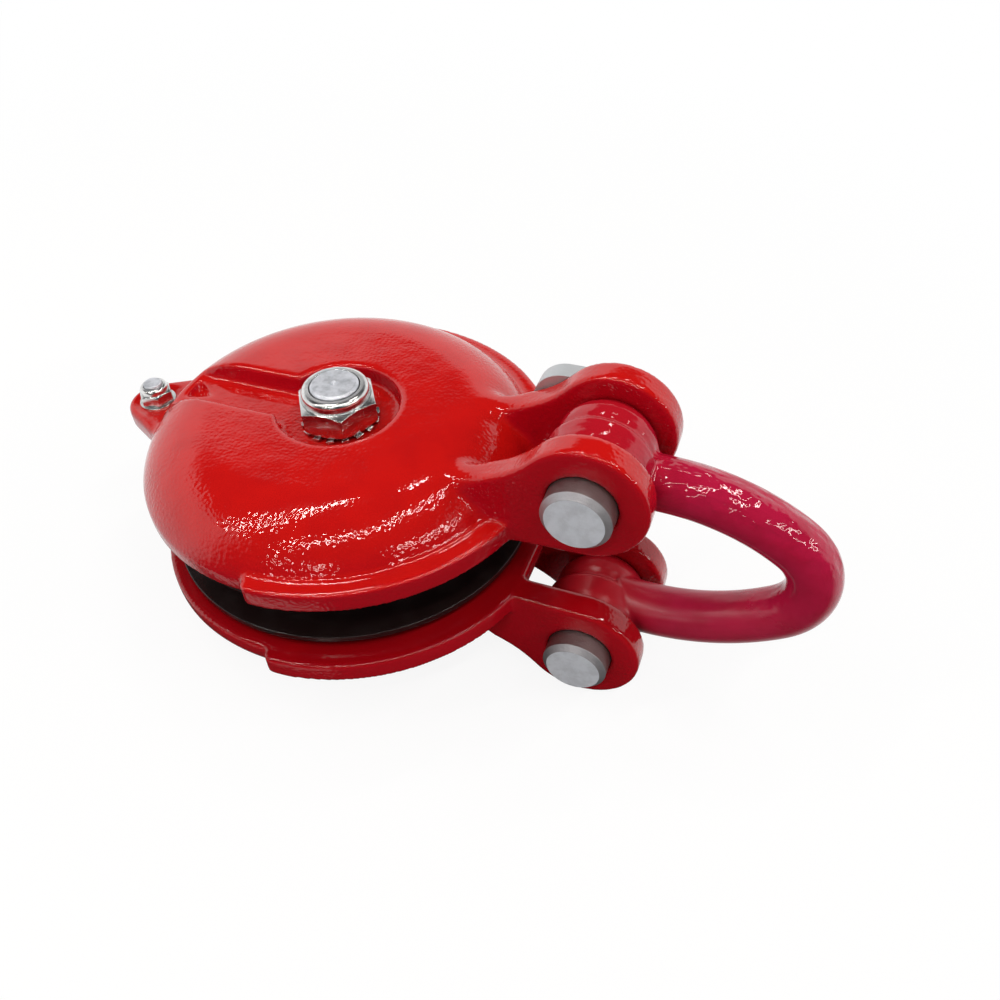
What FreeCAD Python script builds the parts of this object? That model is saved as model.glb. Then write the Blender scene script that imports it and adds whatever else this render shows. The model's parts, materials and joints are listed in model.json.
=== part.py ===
"""Snatch block: two dished cast cheeks round a rope sheave, closed at the head by a link on two pins.

Millimetres. The sheave turns about Z through the origin, which is the middle of the rope groove.
+X points to the head, where the link is. The heads of the two link pins are on the +Y side.
The two cheeks mirror each other in the plane z = 0. Each is nearly symmetric in y: only its channel and its
keeper hole aren't.
"""
import FreeCAD
import Part
import math
import os

from FreeCAD import Vector

tiny = 0.01

X_AXIS = Vector(1, 0, 0)
Y_AXIS = Vector(0, 1, 0)
Z_AXIS = Vector(0, 0, 1)
ORIGIN = Vector(0, 0, 0)

# Clearances, and how far a cut runs past the surface that it opens
running_fit = 0.08
loose_fit = 0.3
cut_margin = 1.0
sheave_side_clearance = 4.0

# Sheave
sheave_radius = 79.0
groove_depth = 18.0
groove_radius = 8.6
sheave_lip_width = 2.6
web_thickness = 12.0
sheave_hub_radius = 28.0
sheave_rim_depth = 27.0
web_flank = 3.0
web_hole_radius = 8.0
web_hole_count = 6

# Cheek casting: rim wall, guard flange on the head half, dome and centre recess
cheek_gap = 32.8
rim_overhang = 4.0
rim_wall_height = 6.6
rim_wall_thickness = 8.0
dome_set_back = 2.25
guard_width = 5.1
guard_thickness = 9.4
guard_corner_radius = 4.5
guard_start_x = -1.2
guard_trim_depth = 3.3
guard_edge_radius = 0.6
dome_crown_height = 28.6
dome_shoulder_width = 31.4
shell_wall = 8.0
hollow_wall_height = 1.0
rim_edge_radius = 1.0
shoulder_edge_radius = 5.0
recess_radius = 25.7
recess_depth = 8.9
recess_edge = 0.8
hub_boss_radius = 34.0
seat_thickness = 8.3

# Straight channel from the recess to the tail, and the small pocket at its end
channel_floor_width = 21.6
channel_draft = 1.5
channel_centre_y = -1.5
pocket_tip_depth = 24.5
pocket_length = 12.5
pocket_width = 12.0
pocket_skew = 2.5
pocket_depth = 4.5

# Fork: two ears on each cheek, either side of the link's eye
pin_reach = 24.2
pin_axis_z = 43.1
fork_gap = 32.6
ear_thickness = 11.7
ear_radius = 25.7
arm_top_height = 27.0
arm_blend_radius = 50.0
ear_edge_radius = 1.6
root_blend_radius = 8.0
root_blend_end_radius = 1.2
root_blend_top_share = 0.93
root_blend_inner_share = 0.7
root_blend_levels = 6
root_overlap = 2.0
blend_sink = 0.15

# Tail lug on each cheek, with the bolt and the distance tube between the two lugs
tail_reach = 9.05
lug_radius = 13.2
lug_thickness = 9.2
lug_flare_half_width = 24.0
lug_flare_depth = 7.25
lug_edge_radius = 2.4
lug_blend_radius = 3.0
spot_face_radius = 10.5
spot_face_depth = 1.2

# Bearing: bush in the sheave, on a sleeve clamped between the cheeks
sleeve_wall = 5.7
bush_wall = 4.0
thrust_washer_thickness = 2.0
thrust_washer_width = 10.0

# Centre bolt and its nut, M20
centre_bolt_radius = 10.0
centre_hex_flats = 30.0
centre_head_height = 12.5
centre_nut_height = 15.8
centre_nut_hex_height = 11.4
centre_nut_turn = 2.5
centre_collar_wall = 3.9
bolt_end_stand = 1.2
bolt_end_chamfer = 1.0
centre_mark_radius = 1.6
insert_wall = 1.4
insert_depth = 5.0
nut_lip_thickness = 1.2
nut_lip_gap = 0.6
hex_corner_share = 0.97
hex_corner_slope = math.radians(30)
collar_round_share = 0.45

# Tooth lock washers of the centre bolt
lock_washer_width = 6.1
lock_washer_thickness = 1.8
lock_tooth_count = 16
lock_tooth_length = 3.0
lock_tooth_width = 3.2
lock_tooth_thickness = 1.0
lock_tooth_twist = 12

# Tail bolt, M8
tail_bolt_radius = 4.0
tail_hex_flats = 13.0
tail_head_height = 5.3
tail_nut_height = 8.0
tail_nut_hex_height = 5.2
tail_nut_turn = 12
tail_collar_wall = 1.9
tail_washer_width = 3.6
tail_washer_thickness = 1.4
tail_tube_wall = 2.7

# Link pins with a flat keeper tongue on the head end
pin_radius = 13.7
pin_stand_front = 9.0
pin_chamfer = 2.2
keeper_thickness = 8.3
keeper_offset = 23.3

# Keeper bolts, M8
keeper_bolt_radius = 4.0
keeper_bolt_flats = 13.0
keeper_bolt_head_height = 5.3
keeper_washer_width = 3.6
keeper_washer_thickness = 1.6
keeper_hole_floor = 2.5
keeper_bolt_set_back = 0.5

# Link: round bar bent to a bow, with a forged eye on each end
bar_radius = 11.0
bow_reach = 85.9
bow_tip_radius = 24.4
bow_tip_half_angle = math.radians(53.9)
bow_leg_radius = 89.0

# Outline of the link's eye between its two end faces: place along the bore from front to back, and radius
eye_outline = (
    (-14.0, 18.6),
    (-10.0, 20.2),
    (-6.0, 21.0),
    (-2.4, 21.7),
    (-1.2, 21.0),
    (0.6, 18.9),
    (2.6, 19.0),
    (4.2, 20.0),
    (8.5, 20.2),
    (11.5, 19.2),
    (14.0, 17.6),
)
eye_end_radius = 16.4

# Places that follow from the sizes above
inner_z = cheek_gap / 2
rim_radius = sheave_radius + rim_overhang
rim_tail_x = -dome_set_back - rim_radius
rim_inner_radius = rim_radius - rim_wall_thickness
wall_top_z = inner_z + rim_wall_height
guard_radius = rim_radius + guard_width
guard_top_z = inner_z + guard_thickness
guard_trim_x = guard_radius - guard_trim_depth
dome_crown_radius = rim_radius - dome_shoulder_width
crown_z = inner_z + dome_crown_height
above_z = crown_z + cut_margin
below_z = inner_z - cut_margin
recess_floor_z = crown_z - recess_depth
seat_z = recess_floor_z - seat_thickness
pin_axis_x = guard_radius + pin_reach
ear_inner_y = fork_gap / 2
ear_outer_y = ear_inner_y + ear_thickness
arm_top_z = inner_z + arm_top_height
tail_axis_x = rim_tail_x - tail_reach
lug_flare_x = rim_tail_x + lug_flare_depth
lug_z = inner_z + lug_thickness
spot_z = lug_z - spot_face_depth
sleeve_radius = centre_bolt_radius + loose_fit + sleeve_wall
centre_collar_radius = centre_bolt_radius + centre_collar_wall
lock_washer_radius = centre_bolt_radius + loose_fit + lock_washer_width
lock_ring_radius = lock_washer_radius - lock_tooth_length
nut_seat_z = recess_floor_z + lock_washer_thickness
nut_top_z = nut_seat_z + centre_nut_height
tail_collar_radius = tail_bolt_radius + tail_collar_wall
tail_washer_radius = tail_bolt_radius + loose_fit + tail_washer_width
tail_tube_radius = tail_bolt_radius + loose_fit + tail_tube_wall
tail_seat_z = spot_z + tail_washer_thickness
tail_nut_top_z = tail_seat_z + tail_nut_height
tail_scale = tail_bolt_radius / centre_bolt_radius
tail_insert_wall = insert_wall * tail_scale
tail_lip_thickness = nut_lip_thickness * tail_scale
tail_lip_gap = nut_lip_gap * tail_scale
tail_insert_depth = insert_depth * tail_scale
keeper_y = ear_outer_y + loose_fit
keeper_back_y = keeper_y + keeper_thickness
keeper_axis_x = pin_axis_x - keeper_offset
keeper_hole_y = ear_inner_y + keeper_hole_floor
keeper_washer_radius = keeper_bolt_radius + loose_fit + keeper_washer_width
bow_tip_x = pin_axis_x + bow_reach


def solid_cylinder(radius, low, high, x=0.0, y=0.0):
    """Upright cylinder between two heights."""
    return Part.makeCylinder(radius, high - low, Vector(x, y, low), Z_AXIS)


def cross_cylinder(radius, low, high, x, z):
    """Cylinder along Y between two values of y."""
    return Part.makeCylinder(radius, high - low, Vector(x, low, z), Y_AXIS)


def ring(outer, inner, low, high, x=0.0, y=0.0):
    """Upright tube between two heights."""
    return solid_cylinder(outer, low, high, x, y).cut(solid_cylinder(inner, low, high, x, y))


def hexagon_prism(flats, low, high, x=0.0, y=0.0, turn=0.0):
    """Upright hexagonal prism, given across its flats."""
    reach = flats / 2 / math.cos(math.pi / 6)
    corners = []
    for corner in range(7):
        angle = math.radians(60 * corner + turn)
        corners.append(Vector(x + reach * math.cos(angle), y + reach * math.sin(angle), low))
    return Part.Face(Part.makePolygon(corners)).extrude(Vector(0, 0, high - low))


def rounded_hexagon(flats, low, high, x=0.0, y=0.0, turn=0.0, both_ends=False):
    """Hexagonal prism whose corners are turned off at 30 degrees at the top, or at both ends."""
    prism = hexagon_prism(flats, low, high, x, y, turn)
    height = high - low
    spread = height / math.tan(hex_corner_slope)
    top_radius = flats / 2 * hex_corner_share
    top = Part.makeCone(top_radius + spread, top_radius, height, Vector(x, y, low), Z_AXIS)
    prism = prism.common(top)
    if both_ends:
        foot = Part.makeCone(top_radius, top_radius + spread, height, Vector(x, y, low), Z_AXIS)
        prism = prism.common(foot)
    return prism


def revolved(edges, centre=ORIGIN, axis=Z_AXIS):
    """Solid of revolution of a closed outline."""
    face = Part.Face(Part.Wire(edges))
    return face.revolve(centre, axis, 360)


def lines(points):
    """Straight edges through a list of points."""
    return [Part.LineSegment(a, b).toShape() for a, b in zip(points, points[1:])]


def half_plane_point(radius, height):
    """Point of a profile that is revolved about Z."""
    return Vector(radius, 0, height)


def mirrored(shape):
    """The same piece on the lower cheek."""
    return shape.mirror(ORIGIN, Z_AXIS)


def dome_curve():
    """Radius of the dome's arc in section, and the height of its centre."""
    rise = crown_z - wall_top_z
    reach = rim_radius - dome_crown_radius
    radius = (reach * reach + rise * rise) / (2 * rise)
    return radius, crown_z - radius


def dome_radius_at(height):
    """Outer radius of the rim wall or dome at one height."""
    if height <= wall_top_z:
        return rim_radius
    radius, centre_z = dome_curve()
    return dome_crown_radius + math.sqrt(radius ** 2 - (height - centre_z) ** 2)


def dome_arc(offset, low):
    """Arc of the dome in section, moved inwards by offset, from height low up to the crown and the axis."""
    radius, centre_z = dome_curve()
    radius = radius - offset
    foot_angle = math.asin((low - centre_z) / radius)
    foot = half_plane_point(dome_crown_radius + radius * math.cos(foot_angle), low)
    middle_angle = (foot_angle + math.pi / 2) / 2
    middle = half_plane_point(
        dome_crown_radius + radius * math.cos(middle_angle),
        centre_z + radius * math.sin(middle_angle),
    )
    top = half_plane_point(dome_crown_radius, centre_z + radius)
    edges = [Part.Arc(foot, middle, top).toShape()]
    crown = half_plane_point(0, top.z)
    edges += lines([top, crown])
    return foot, crown, edges


def set_back(shape):
    """Moves a piece of the dome towards the tail, to the dome's own axis."""
    shape.translate(Vector(-dome_set_back, 0, 0))
    return shape


def dome_solid():
    """Rim wall and dome of the upper cheek, still solid inside, with its two round edges eased."""
    foot, crown, arc_edges = dome_arc(0.0, wall_top_z)
    edges = lines([
        half_plane_point(0, inner_z),
        half_plane_point(rim_radius, inner_z),
        foot,
    ])
    edges += arc_edges
    edges += lines([crown, half_plane_point(0, inner_z)])
    dome = revolved(edges)
    foot_edges = round_edges(dome, rim_radius, inner_z)
    dome = dome.makeFillet(rim_edge_radius, foot_edges)
    shoulder_edges = round_edges(dome, rim_radius, wall_top_z)
    dome = dome.makeFillet(shoulder_edge_radius, shoulder_edges)
    return set_back(dome)


def round_edges(shape, radius, height, x=0.0):
    """Level circular edges about an upright axis at x, of one radius, at one height."""
    found = []
    for edge in shape.Edges:
        box = edge.BoundBox
        flat = abs(box.ZMin - height) < tiny and abs(box.ZMax - height) < tiny
        if flat and abs(box.XMax - x - radius) < tiny:
            found.append(edge)
    return found


def dome_hollow():
    """Space inside the dome, round the hub boss and under the channel."""
    wall_foot, crown, arc_edges = dome_arc(shell_wall, inner_z + hollow_wall_height)
    inner = min(rim_inner_radius, wall_foot.x)
    edges = lines([
        half_plane_point(0, below_z),
        half_plane_point(wall_foot.x, below_z),
        wall_foot,
    ])
    edges += arc_edges
    edges += lines([crown, half_plane_point(0, below_z)])
    hollow = set_back(revolved(edges).common(solid_cylinder(inner, below_z, above_z)))
    wall_start_y = channel_centre_y - channel_floor_width / 2 - shell_wall
    channel_wall = Part.makeBox(
        rim_radius, channel_floor_width + 2 * shell_wall, above_z,
        Vector(-rim_radius, wall_start_y, recess_floor_z - shell_wall),
    )
    return hollow.cut([solid_cylinder(hub_boss_radius, below_z, above_z), channel_wall])


def guard_flange():
    """Wider guard on the head half of the rim, which keeps the rope in the groove; flat between the arms."""
    buried = rim_radius - 2 * guard_width
    flange = ring(guard_radius, buried, inner_z, guard_top_z)
    head_half = Part.makeBox(
        guard_radius * 2, guard_radius * 4, guard_thickness * 2,
        Vector(guard_start_x, -guard_radius * 2, inner_z),
    )
    flange = flange.common(head_half)
    corners = []
    for edge in flange.Edges:
        middle = edge.CenterOfMass
        tall = edge.BoundBox.ZLength > guard_thickness - tiny
        if tall and abs(middle.x - guard_start_x) < tiny and abs(middle.y) > rim_radius:
            corners.append(edge)
    flange = flange.makeFillet(guard_corner_radius, corners)
    outer = []
    for edge in flange.Edges:
        level = edge.BoundBox.ZLength < tiny
        middle = edge.valueAt((edge.FirstParameter + edge.LastParameter) / 2)
        far = math.hypot(middle.x, middle.y) > guard_radius - guard_corner_radius
        top_or_bottom = abs(middle.z - guard_top_z) < tiny or abs(middle.z - inner_z) < tiny
        if level and far and top_or_bottom:
            outer.append(edge)
    flange = flange.makeFillet(guard_edge_radius, outer)
    between_arms = Part.makeBox(
        guard_radius, fork_gap, guard_radius,
        Vector(guard_trim_x, -ear_inner_y, below_z),
    )
    return flange.cut(between_arms)


def tangent_point(start, centre, radius, side):
    """Where a line from start touches a circle; side picks which of the two touching lines."""
    gap = start.sub(centre)
    distance = math.hypot(gap.x, gap.z)
    angle = math.atan2(gap.z, gap.x) + side * math.acos(radius / distance)
    return Vector(centre.x + radius * math.cos(angle), start.y, centre.z + radius * math.sin(angle))


def arm_outline(y):
    """Side view of one arm and ear, at a given y, as a closed face."""
    eye = Vector(pin_axis_x, y, pin_axis_z)
    root_foot = Vector(math.sqrt(guard_radius ** 2 - ear_outer_y ** 2) - root_overlap, y, inner_z)
    touch = tangent_point(root_foot, eye, ear_radius, 1)
    blend_z = arm_top_z + arm_blend_radius
    reach = arm_blend_radius + ear_radius
    blend_x = pin_axis_x - math.sqrt(reach * reach - (blend_z - pin_axis_z) ** 2)
    blend = Vector(blend_x, y, blend_z)
    joint = eye.add(blend.sub(eye).multiply(ear_radius / reach))
    blend_start = Vector(blend_x, y, arm_top_z)
    half_turn = math.atan2(joint.x - blend_x, blend_z - joint.z) / 2
    blend_middle = Vector(
        blend_x + arm_blend_radius * math.sin(half_turn), y, blend_z - arm_blend_radius * math.cos(half_turn)
    )
    ear_tip = Vector(pin_axis_x + ear_radius, y, pin_axis_z)
    edges = lines([Vector(hub_boss_radius, y, inner_z), root_foot, touch])
    edges.append(Part.Arc(touch, ear_tip, joint).toShape())
    edges.append(Part.Arc(joint, blend_middle, blend_start).toShape())
    edges += lines([blend_start, Vector(hub_boss_radius, y, arm_top_z), Vector(hub_boss_radius, y, inner_z)])
    return Part.Face(Part.Wire(edges))


def fork_arm(side):
    """One arm of the fork, with its ear. side is -1 or 1 along Y."""
    start_y = ear_inner_y if side > 0 else -ear_outer_y
    arm = arm_outline(start_y).extrude(Vector(0, ear_thickness, 0))
    rounded = []
    for edge in arm.Edges:
        middle = edge.CenterOfMass
        flat = edge.BoundBox.YLength < tiny
        if flat and middle.x > pin_axis_x - ear_radius and middle.z > inner_z + tiny:
            rounded.append(edge)
    return arm.makeFillet(ear_edge_radius, rounded)


def sunk_arc(centre, first, last):
    """Three points of a blend's arc, sunk a little into the two faces that it runs between."""
    radius = first.sub(centre).Length + blend_sink
    chord = first.add(last).multiply(0.5)
    points = []
    for toward in (first, chord, last):
        points.append(centre.add(toward.sub(centre).normalize().multiply(radius)))
    return points


def root_blend_section(face_y, outward, radius, height):
    """Level section of a root blend: a corner with a concave arc between an arm's face and the dome."""
    wall_radius = dome_radius_at(height)
    centre_y = face_y + outward * radius
    centre_x = math.sqrt((wall_radius + radius) ** 2 - centre_y ** 2)
    share = wall_radius / (wall_radius + radius)
    centre = Vector(centre_x - dome_set_back, centre_y, height)
    touch_arm = Vector(centre.x, face_y, height)
    touch_dome = Vector(centre_x * share - dome_set_back, centre_y * share, height)
    on_arm, middle, on_dome = sunk_arc(centre, touch_arm, touch_dome)
    inside_x = math.sqrt(wall_radius ** 2 - face_y ** 2) - dome_set_back - root_overlap
    inside = Vector(inside_x, face_y - outward, height)
    edges = [Part.Arc(on_arm, middle, on_dome).toShape()]
    edges += lines([on_dome, inside, on_arm])
    return Part.Wire(edges)


def root_blend(face_y, outward, size_share):
    """Cast blend where one face of an arm runs into the dome, growing from the dome down to the guard."""
    low = guard_top_z - tiny
    high = inner_z + arm_top_height * root_blend_top_share
    sections = []
    for level in range(root_blend_levels):
        share = level / (root_blend_levels - 1)
        radius = root_blend_radius + (root_blend_end_radius - root_blend_radius) * share
        sections.append(root_blend_section(face_y, outward, radius * size_share, low + (high - low) * share))
    return Part.makeLoft(sections, True, False)


def root_blends():
    """Blends on the outer and inner faces of both arms."""
    outer = root_blend(ear_outer_y, 1, 1.0)
    inner = root_blend(ear_inner_y, -1, root_blend_inner_share)
    return [outer, inner, outer.mirror(ORIGIN, Y_AXIS), inner.mirror(ORIGIN, Y_AXIS)]


def lug_outline():
    """Plan of the tail lug: a round end whose sides flare into the rim."""
    centre = Vector(tail_axis_x, 0, inner_z)
    flare = Vector(lug_flare_x - tail_axis_x, lug_flare_half_width, 0)
    distance = math.hypot(flare.x, flare.y)
    angle = math.atan2(flare.y, flare.x) + math.acos(lug_radius / distance)
    touch = Vector(lug_radius * math.cos(angle), lug_radius * math.sin(angle), 0)
    upper = [centre.add(Vector(touch.x, side * touch.y, 0)) for side in (1, -1)]
    wide = [centre.add(Vector(flare.x, side * flare.y, 0)) for side in (1, -1)]
    inside = [Vector(lug_flare_x + lug_radius, side * lug_radius, inner_z) for side in (1, -1)]
    tip = Vector(tail_axis_x - lug_radius, 0, inner_z)
    edges = [Part.Arc(upper[0], tip, upper[1]).toShape()]
    edges += lines([upper[1], wide[1], inside[1], inside[0], wide[0], upper[0]])
    return Part.Face(Part.Wire(edges))


def tail_lug():
    """Flat lug at the tail, with a rounded edge."""
    lug = lug_outline().extrude(Vector(0, 0, lug_thickness))
    rounded = []
    for edge in lug.Edges:
        middle = edge.CenterOfMass
        if abs(middle.z - lug_z) < tiny and edge.BoundBox.ZLength < tiny and middle.x < lug_flare_x:
            rounded.append(edge)
    return lug.makeFillet(lug_edge_radius, rounded)


def lug_blend():
    """Concave blend from the flat of the tail lug up to the dome, touching both."""
    dome_radius, dome_centre_z = dome_curve()
    centre_z = lug_z + lug_blend_radius
    reach = math.sqrt((dome_radius + lug_blend_radius) ** 2 - (centre_z - dome_centre_z) ** 2)
    share = dome_radius / (dome_radius + lug_blend_radius)
    centre = half_plane_point(dome_crown_radius + reach, centre_z)
    foot = half_plane_point(centre.x, lug_z)
    top = half_plane_point(
        dome_crown_radius + reach * share,
        dome_centre_z + (centre_z - dome_centre_z) * share,
    )
    foot, middle, top = sunk_arc(centre, foot, top)
    buried = top.x - lug_blend_radius
    low = lug_z - lug_edge_radius
    edges = [Part.Arc(foot, middle, top).toShape()]
    edges += lines([
        top,
        half_plane_point(buried, top.z),
        half_plane_point(buried, low),
        half_plane_point(foot.x, low),
        foot,
    ])
    narrow = lug_outline().extrude(Vector(0, 0, crown_z))
    return set_back(revolved(edges)).common(narrow)


def channel_cut():
    """Straight channel with drafted walls from the centre recess out through the tail side of the dome."""
    spread = channel_draft * (above_z - recess_floor_z) / recess_depth
    half = channel_floor_width / 2
    section = [
        Vector(0, channel_centre_y - half, recess_floor_z),
        Vector(0, channel_centre_y + half, recess_floor_z),
        Vector(0, channel_centre_y + half + spread, above_z),
        Vector(0, channel_centre_y - half - spread, above_z),
        Vector(0, channel_centre_y - half, recess_floor_z),
    ]
    return Part.Face(Part.makePolygon(section)).extrude(Vector(-rim_radius, 0, 0))


def pocket_cut():
    """Three-cornered pocket at the tail end of the channel, deepest at its tail side."""
    tip_x = rim_tail_x + pocket_tip_depth
    base_x = tip_x - pocket_length
    base_y = channel_centre_y + pocket_skew
    plan = [
        Vector(tip_x, channel_centre_y, 0),
        Vector(base_x, base_y + pocket_width / 2, 0),
        Vector(base_x, base_y - pocket_width / 2, 0),
        Vector(tip_x, channel_centre_y, 0),
    ]
    side = [
        Vector(tip_x, 0, recess_floor_z),
        Vector(base_x, 0, recess_floor_z - pocket_depth),
        Vector(base_x, 0, above_z),
        Vector(tip_x, 0, above_z),
        Vector(tip_x, 0, recess_floor_z),
    ]
    wedge = Part.Face(Part.makePolygon(side)).extrude(Vector(0, pocket_width, 0))
    wedge.translate(Vector(0, base_y - pocket_width / 2, 0))
    return Part.Face(Part.makePolygon(plan)).extrude(Vector(0, 0, above_z)).common(wedge)


def recess_cut():
    """Round recess in the crown, with an eased upper edge."""
    well = solid_cylinder(recess_radius, recess_floor_z, above_z)
    flare_height = above_z - crown_z + recess_edge
    foot = Vector(0, 0, crown_z - recess_edge)
    flare = Part.makeCone(recess_radius, recess_radius + flare_height, flare_height, foot, Z_AXIS)
    return well.fuse(flare)


def upper_cheek():
    """Upper casting, with its fork at the head and its lug at the tail."""
    added = [guard_flange(), fork_arm(-1), fork_arm(1), tail_lug(), lug_blend()]
    cheek = dome_solid().fuse(added + root_blends())
    cuts = [
        dome_hollow(),
        recess_cut(),
        solid_cylinder(hub_boss_radius + tiny, below_z, seat_z),
        channel_cut(),
        pocket_cut(),
        solid_cylinder(centre_bolt_radius + loose_fit, inner_z, above_z),
        solid_cylinder(tail_bolt_radius + loose_fit, below_z, above_z, tail_axis_x),
        solid_cylinder(spot_face_radius, spot_z, above_z, tail_axis_x),
        cross_cylinder(pin_radius + running_fit, -keeper_y, keeper_y, pin_axis_x, pin_axis_z),
        cross_cylinder(keeper_bolt_radius + running_fit, keeper_hole_y, keeper_y, keeper_axis_x, pin_axis_z),
    ]
    return cheek.cut(cuts).removeSplitter()


def sheave():
    """Rope sheave: grooved rim, pierced web and hub."""
    half_rim = inner_z - sheave_side_clearance
    half_hub = seat_z - thrust_washer_thickness - loose_fit
    bore = sleeve_radius + running_fit + bush_wall
    groove_bottom_radius = sheave_radius - groove_depth
    groove_centre = half_plane_point(groove_bottom_radius + groove_radius, 0)
    lip = half_plane_point(sheave_radius, half_rim - sheave_lip_width)
    rim_inner = sheave_radius - sheave_rim_depth
    half_web = web_thickness / 2
    upper_half = [
        tangent_point(lip, groove_centre, groove_radius, 1),
        lip,
        half_plane_point(sheave_radius, half_rim),
        half_plane_point(rim_inner, half_rim),
        half_plane_point(rim_inner - web_flank, half_web),
        half_plane_point(sheave_hub_radius + web_flank, half_web),
        half_plane_point(sheave_hub_radius, half_hub),
        half_plane_point(bore, half_hub),
    ]
    lower_half = [half_plane_point(point.x, -point.z) for point in reversed(upper_half)]
    edges = lines(upper_half + lower_half)
    groove_bottom = half_plane_point(groove_bottom_radius, 0)
    edges.append(Part.Arc(lower_half[-1], groove_bottom, upper_half[0]).toShape())
    wheel = revolved(edges)
    hole_circle = (sheave_hub_radius + rim_inner) / 2
    holes = []
    for index in range(web_hole_count):
        angle = 2 * math.pi * index / web_hole_count
        x = hole_circle * math.cos(angle)
        y = hole_circle * math.sin(angle)
        holes.append(solid_cylinder(web_hole_radius, -web_thickness, web_thickness, x, y))
    return wheel.cut(holes)


def sheave_bush():
    """Bronze bush pressed into the sheave's hub."""
    half = seat_z - thrust_washer_thickness - loose_fit
    inner = sleeve_radius + running_fit
    return ring(inner + bush_wall, inner, -half, half)


def inner_sleeve():
    """Hardened sleeve that the bush runs on, clamped between the two hub bosses."""
    return ring(sleeve_radius, centre_bolt_radius + loose_fit, -seat_z, seat_z)


def thrust_washer():
    """Bronze thrust washer between the hub and the upper cheek's boss."""
    outer = sleeve_radius + thrust_washer_width
    return ring(outer, sleeve_radius + running_fit, seat_z - thrust_washer_thickness, seat_z)


def lock_washer():
    """Lock washer with twisted teeth round its outside, on the floor of the centre recess."""
    bore = centre_bolt_radius + loose_fit
    washer = ring(lock_ring_radius, bore, recess_floor_z, nut_seat_z)
    middle_z = (recess_floor_z + nut_seat_z) / 2
    teeth = []
    for index in range(lock_tooth_count):
        tooth = Part.makeBox(
            lock_washer_radius - bore - loose_fit, lock_tooth_width, lock_tooth_thickness,
            Vector(bore + loose_fit, -lock_tooth_width / 2, -lock_tooth_thickness / 2),
        )
        tooth.rotate(ORIGIN, X_AXIS, lock_tooth_twist)
        tooth.translate(Vector(0, 0, middle_z))
        tooth.rotate(ORIGIN, Z_AXIS, 360 * (index + 0.5) / lock_tooth_count)
        teeth.append(tooth)
    return washer.fuse(teeth).removeSplitter()


def locking_nut(flats, hex_height, height, collar, bore, seat, x, turn):
    """Nut with a hexagon below and a round collar with a rolled edge above."""
    hexagon = rounded_hexagon(flats, seat, seat + hex_height, x, 0, turn, both_ends=True)
    rolled = solid_cylinder(collar, seat, seat + height, x)
    top_edges = round_edges(rolled, collar, seat + height, x)
    rolled = rolled.makeFillet((height - hex_height) * collar_round_share, top_edges)
    return hexagon.fuse(rolled).cut(solid_cylinder(bore, seat, seat + height, x))


def centre_nut():
    """Upper nut of the centre bolt, with room for its nylon ring under a turned-in lip."""
    nut = locking_nut(
        centre_hex_flats, centre_nut_hex_height, centre_nut_height, centre_collar_radius,
        centre_bolt_radius + running_fit, nut_seat_z, 0, centre_nut_turn,
    )
    room_top = nut_top_z - nut_lip_thickness
    room = solid_cylinder(centre_collar_radius - insert_wall, room_top - insert_depth, room_top)
    return nut.cut([room, solid_cylinder(centre_bolt_radius + nut_lip_gap, room_top - tiny, nut_top_z)])


def centre_nut_insert():
    """Nylon ring of the centre nut."""
    top = nut_top_z - nut_lip_thickness
    outer = centre_collar_radius - insert_wall
    return ring(outer, centre_bolt_radius + running_fit, top - insert_depth, top)


def centre_bolt():
    """M20 bolt from the lower recess up through the nut, with a turned centre mark in its end."""
    top = nut_top_z + bolt_end_stand
    shank = solid_cylinder(centre_bolt_radius, -nut_seat_z, top)
    shank = shank.makeChamfer(bolt_end_chamfer, round_edges(shank, centre_bolt_radius, top))
    mark_tip = Vector(0, 0, top - centre_mark_radius)
    mark = Part.makeCone(0, centre_mark_radius, centre_mark_radius, mark_tip, Z_AXIS)
    head = mirrored(rounded_hexagon(centre_hex_flats, nut_seat_z, nut_seat_z + centre_head_height))
    return shank.cut(mark).fuse(head)


def tail_washer():
    """Washer under the tail nut."""
    return ring(tail_washer_radius, tail_bolt_radius + loose_fit, spot_z, tail_seat_z, tail_axis_x)


def tail_nut():
    """Small locking nut on the upper tail lug, with room for its nylon ring under a turned-in lip."""
    nut = locking_nut(
        tail_hex_flats, tail_nut_hex_height, tail_nut_height, tail_collar_radius,
        tail_bolt_radius + running_fit, tail_seat_z, tail_axis_x, tail_nut_turn,
    )
    room_top = tail_nut_top_z - tail_lip_thickness
    room_radius = tail_collar_radius - tail_insert_wall
    room = solid_cylinder(room_radius, room_top - tail_insert_depth, room_top, tail_axis_x)
    mouth = solid_cylinder(tail_bolt_radius + tail_lip_gap, room_top - tiny, tail_nut_top_z, tail_axis_x)
    return nut.cut([room, mouth])


def tail_nut_insert():
    """Nylon ring of the tail nut."""
    top = tail_nut_top_z - tail_lip_thickness
    outer = tail_collar_radius - tail_insert_wall
    return ring(outer, tail_bolt_radius + running_fit, top - tail_insert_depth, top, tail_axis_x)


def tail_bolt():
    """M8 bolt through both tail lugs, head on the lower cheek."""
    top = tail_nut_top_z + bolt_end_stand
    shank = solid_cylinder(tail_bolt_radius, -tail_seat_z, top, tail_axis_x)
    end_edges = round_edges(shank, tail_bolt_radius, top, tail_axis_x)
    shank = shank.makeChamfer(bolt_end_chamfer * tail_scale, end_edges)
    head = rounded_hexagon(tail_hex_flats, tail_seat_z, tail_seat_z + tail_head_height, tail_axis_x)
    return shank.fuse(mirrored(head))


def tail_tube():
    """Distance tube between the two tail lugs."""
    return ring(tail_tube_radius, tail_bolt_radius + loose_fit, -inner_z, inner_z, tail_axis_x)


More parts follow.
